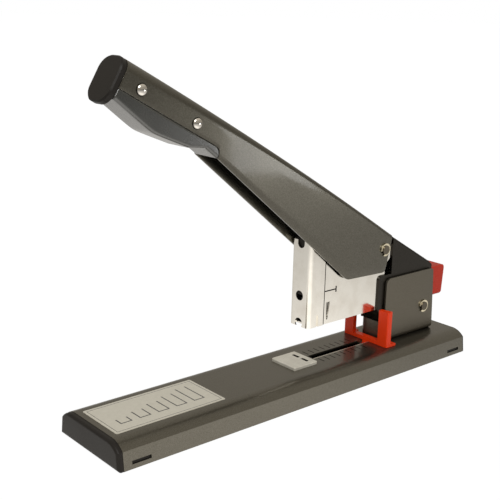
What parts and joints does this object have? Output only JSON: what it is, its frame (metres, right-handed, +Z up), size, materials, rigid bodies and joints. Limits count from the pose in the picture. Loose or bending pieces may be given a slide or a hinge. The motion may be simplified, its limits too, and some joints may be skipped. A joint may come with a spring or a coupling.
{
  "type": "stapler",
  "caption": "Heavy-duty desk stapler: long sheet-metal base, raised lever handle with moulded grip, swinging magazine arm, sliding depth guide and rear-loading pusher.",
  "frame": {"origin": "on the table under the middle of the base's length and width", "axes": "+X along the base from the grip end to the pivot end, +Y across, +Z up"},
  "size_m": [0.29, 0.0604, 0.2103],
  "materials": {
    "graphite_paint": "glossy enamel",
    "black_paint": "satin enamel",
    "black_plastic": "moulded, fine grain",
    "grip_plastic": "moulded, soft sheen",
    "nickel": "bright nickel",
    "anvil_steel": "ground",
    "zinc_yellow": "yellow passivated zinc",
    "zinc": "zinc plated",
    "chrome": "polished",
    "steel": "bright rolled",
    "spring_steel": "drawn wire",
    "guide_red": "moulded",
    "knob_red": "moulded",
    "label_film": "printed film",
    "rubber": "matt"
  },
  "bodies": {
    "base": {"base_shell": "graphite_paint", "front_end_cap": "black_plastic", "rear_end_cap": "black_plastic", "base_pad": "rubber", "label_plate": "label_film", "anvil_plate": "anvil_steel", "bracket": "black_paint", "bracket_rivets": "zinc", "pivot_pin": "zinc", "pivot_clip": "zinc_yellow", "lift_spring": "spring_steel"},
    "arm": {"magazine_body": "nickel", "front_guide": "nickel", "arm_housing": "black_paint", "pivot_spacer": "zinc", "staple_rail": "steel", "spring_anchor": "zinc", "handle_pin": "zinc", "handle_pin_clip": "zinc_yellow", "handle_spacer": "zinc", "handle_washers": "zinc", "return_spring": "spring_steel"},
    "handle": {"handle_shell": "graphite_paint", "grip_insert": "grip_plastic", "handle_end_cap": "black_plastic", "handle_studs": "chrome", "drive_yoke": "steel", "drive_pin": "steel"},
    "driver": {"driver_head": "steel", "driver_blade": "steel"},
    "guide": {"depth_guide": "guide_red", "guide_shoe": "steel", "guide_screw": "zinc"},
    "pusher": {"pusher_knob": "knob_red", "pusher_rod": "steel", "pusher_spring": "spring_steel"},
    "follower": {"staple_follower": "steel"}
  },
  "joints": [
    {"name": "arm_pivot", "type": "hinge", "parent": "base", "child": "arm", "pos_m": [0.1194, 0, 0.0346], "axis": [0, -1, 0], "range_deg": [0, 11.4], "stiffness_Nm_per_rad": 4.5, "springref_deg": -25.78, "deforming": ["lift_spring"]},
    {"name": "handle_pivot", "type": "hinge", "parent": "arm", "child": "handle", "pos_m": [0.0751, 0, 0.0821], "axis": [0, -1, 0], "range_deg": [0, 18], "stiffness_Nm_per_rad": 1.4, "springref_deg": -40.11, "deforming": ["return_spring"]},
    {"name": "driver_slide", "type": "slide", "parent": "arm", "child": "driver", "axis": [0, 0, -1], "range_m": [0, 0.0206]},
    {"name": "guide_slide", "type": "slide", "parent": "base", "child": "guide", "axis": [-1, 0, 0], "range_m": [0, 0.052]},
    {"name": "pusher_slide", "type": "slide", "parent": "arm", "child": "pusher", "axis": [1, 0, 0], "range_m": [0, 0.1]},
    {"name": "follower_slide", "type": "slide", "parent": "pusher", "child": "follower", "axis": [1, 0, 0], "range_m": [0, 0.075], "stiffness_N_per_m": 50, "springref_m": -0.06, "deforming": ["pusher_spring"]}
  ],
  "couplings": [
    {"joint": "driver_slide", "follows": "handle_pivot", "m_per_rad": 0.065254}
  ]
}
